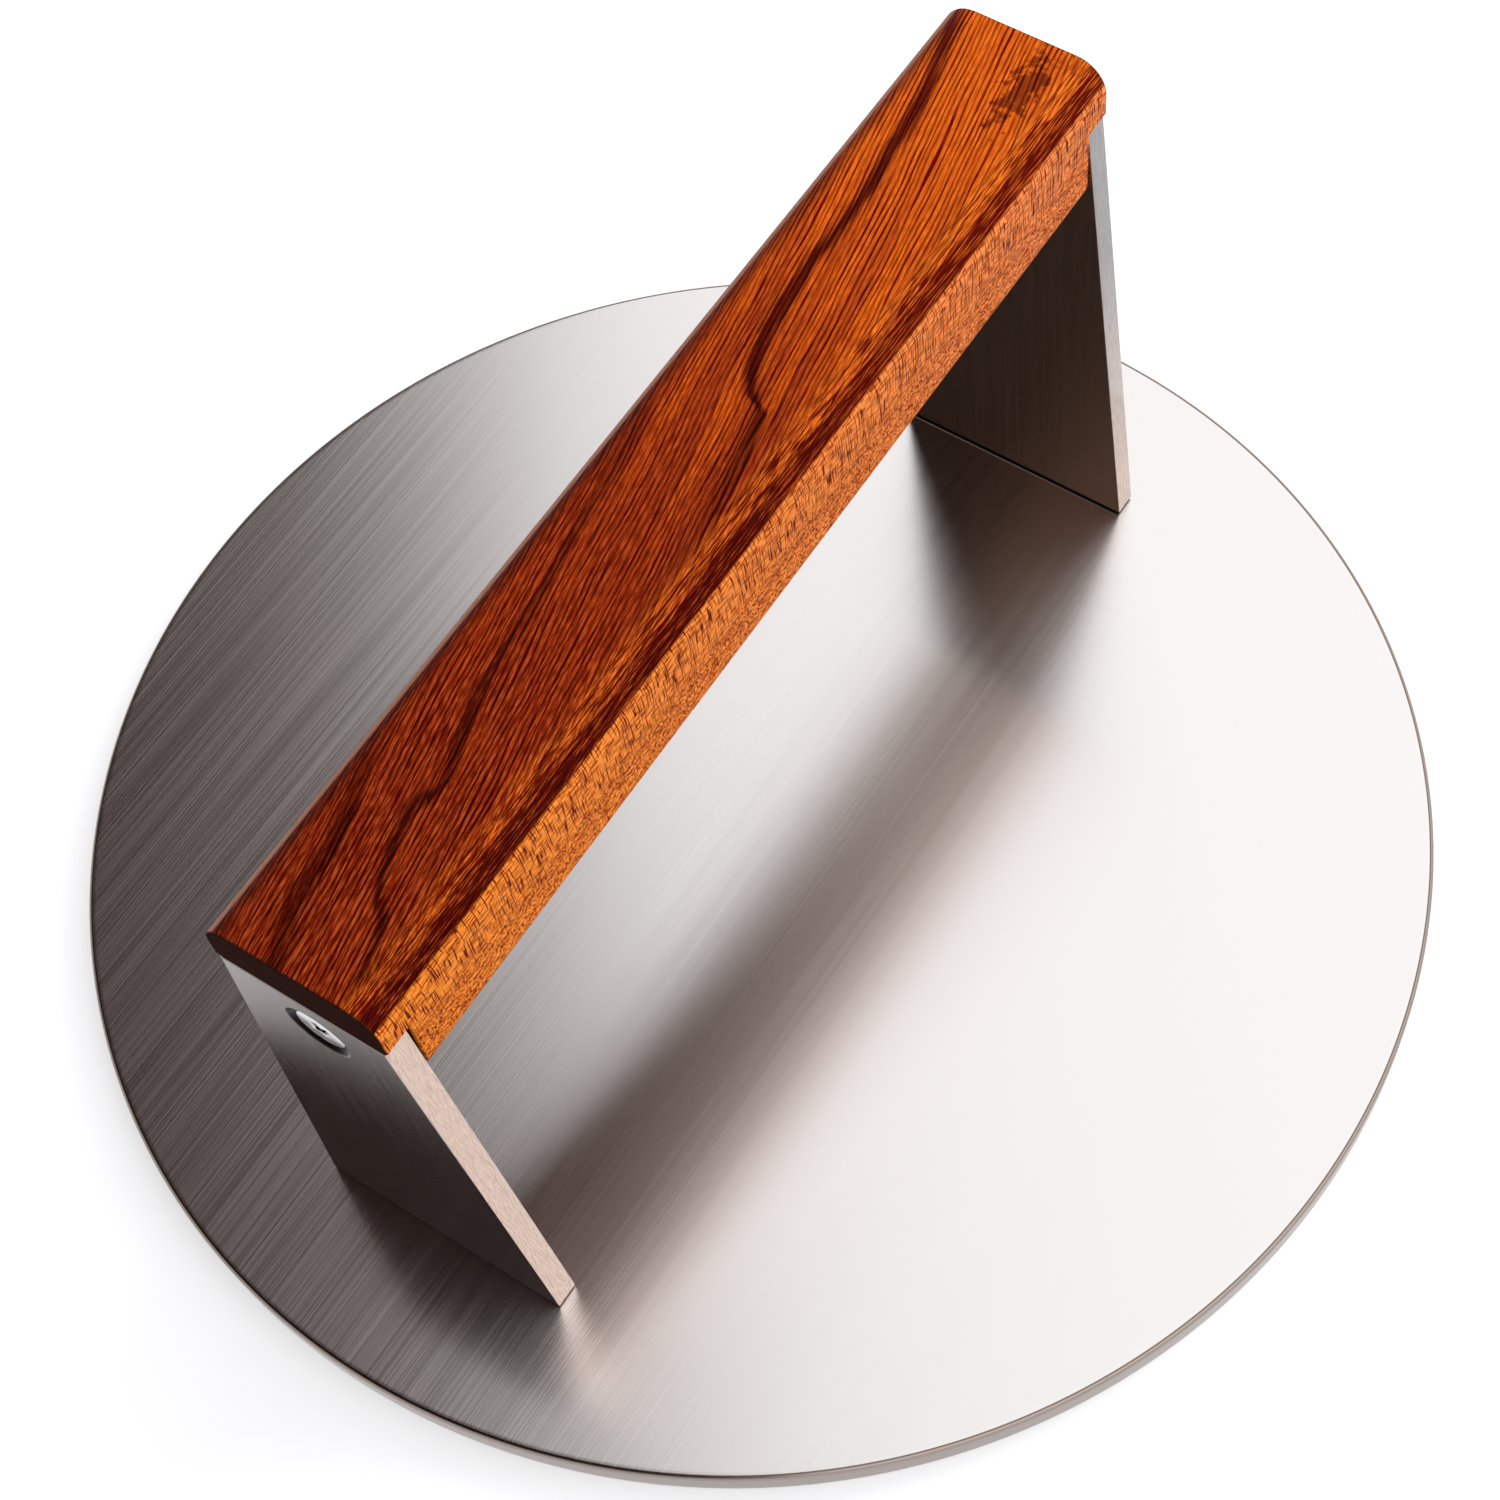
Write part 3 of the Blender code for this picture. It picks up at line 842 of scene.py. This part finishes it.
# %% [markdown]
# Each end gets a pilot hole for its screw. A hole is a spun cylinder, taken out of the bar with
# the same helper as the holes of the legs, from the same place on the screw's axis.

# %% Pilot holes
PILOT_DEPTH = 20.6 * MM
pilot = [(0.0, 0.0), (BORE_RADIUS, 0.0), (BORE_RADIUS, -PILOT_DEPTH), (0.0, -PILOT_DEPTH)]
pilots = [spun("pilot", pilot, screw_place(side), steps=48) for side in (-1, 1)]
finish_piece("grip_bar", carve(bar, *pilots), wood, "handle_grip")

# %% [markdown]
# ## Screws
#
# A countersunk wood screw: a flat head with a cross recess, a cone, and a shank with a coarse
# thread that ends in a point. Head and core are spun from half their section. The thread is a
# small triangle spun with a step along the axis, which is how a screw is drawn.

# %% Screws
HEAD_RADIUS, CORE_RADIUS, THREAD_RADIUS = 2.675 * MM, 1.15 * MM, 1.7 * MM
SCREW_LENGTH, TIP_LENGTH = 20.0 * MM, 4.0 * MM
HEAD_SINK, HEAD_BAND = 0.3 * MM, 0.3 * MM
HEAD_ROUND, ROUND_MIDDLE = 0.12 * MM, 0.04 * MM
THREAD_PITCH = 1.35 * MM
THREAD_TURNS, STEPS_PER_TURN = 10, 32
RIDGE_HALF_WIDTH, RIDGE_ROOT = 0.3 * MM, 0.1 * MM
RECESS_SIZE = (3.1 * MM, 0.85 * MM, 2.2 * MM)
RECESS_TAPER = (0.4, 0.6, 1.0)
RECESS_TURN = math.radians(28)


def recess_slot(place, turn):
    """One slot of the cross recess, narrowing towards its floor."""
    shape = bmesh.new()
    bmesh.ops.create_cube(shape, size=1.0)
    bmesh.ops.scale(shape, vec=RECESS_SIZE, verts=shape.verts)
    floor_corners = [vert for vert in shape.verts if vert.co.z < 0]
    bmesh.ops.scale(shape, vec=RECESS_TAPER, verts=floor_corners)
    spin_about = place @ Matrix.Rotation(RECESS_TURN + turn, 4, "Z")
    bmesh.ops.transform(shape, matrix=spin_about, verts=shape.verts)
    return mesh_from(shape, "slot")


def add_thread(mesh, place):
    """Winds a triangular ridge round the core, with both its ends closed."""
    shape = bmesh.new()
    low = -SCREW_LENGTH + TIP_LENGTH
    root = CORE_RADIUS - RIDGE_ROOT
    section = [(root, -RIDGE_HALF_WIDTH), (THREAD_RADIUS, 0.0), (root, RIDGE_HALF_WIDTH)]
    corners = [shape.verts.new((radius, 0, low + height)) for radius, height in section]
    for first, second in zip(corners, corners[1:] + corners[:1]):
        shape.edges.new((first, second))
    steps = STEPS_PER_TURN * THREAD_TURNS
    bmesh.ops.spin(
        shape, geom=shape.verts[:] + shape.edges[:], cent=(0, 0, 0), axis=(0, 0, 1),
        dvec=(0, 0, THREAD_PITCH * THREAD_TURNS / steps), angle=math.tau * THREAD_TURNS, steps=steps,
    )
    ends = [edge for edge in shape.edges if edge.is_boundary]
    bmesh.ops.holes_fill(shape, edges=ends, sides=3)
    bmesh.ops.transform(shape, matrix=place, verts=shape.verts)
    bmesh.ops.recalc_face_normals(shape, faces=shape.faces)
    shape.from_mesh(mesh)
    shape.to_mesh(mesh)
    shape.free()


face_z = -HEAD_SINK
neck_z = face_z - HEAD_BAND - (HEAD_RADIUS - CORE_RADIUS)
body = [
    (0.0, face_z), (HEAD_RADIUS - HEAD_ROUND, face_z),
    (HEAD_RADIUS - ROUND_MIDDLE, face_z - ROUND_MIDDLE), (HEAD_RADIUS, face_z - HEAD_ROUND),
    (HEAD_RADIUS, face_z - HEAD_BAND), (CORE_RADIUS, neck_z),
    (CORE_RADIUS, face_z - SCREW_LENGTH + TIP_LENGTH), (0.0, face_z - SCREW_LENGTH),
]
for end, side in (("left", -1), ("right", 1)):
    place = screw_place(side)
    face_place = place @ Matrix.Translation((0, 0, face_z))
    slots = [recess_slot(face_place, turn) for turn in (0, math.pi / 2)]
    turned = carve(spun(f"{end}_wood_screw", body, place), *slots)
    add_thread(turned, place)
    finish_piece(f"{end}_wood_screw", turned, screw_steel, f"{end}_screw")
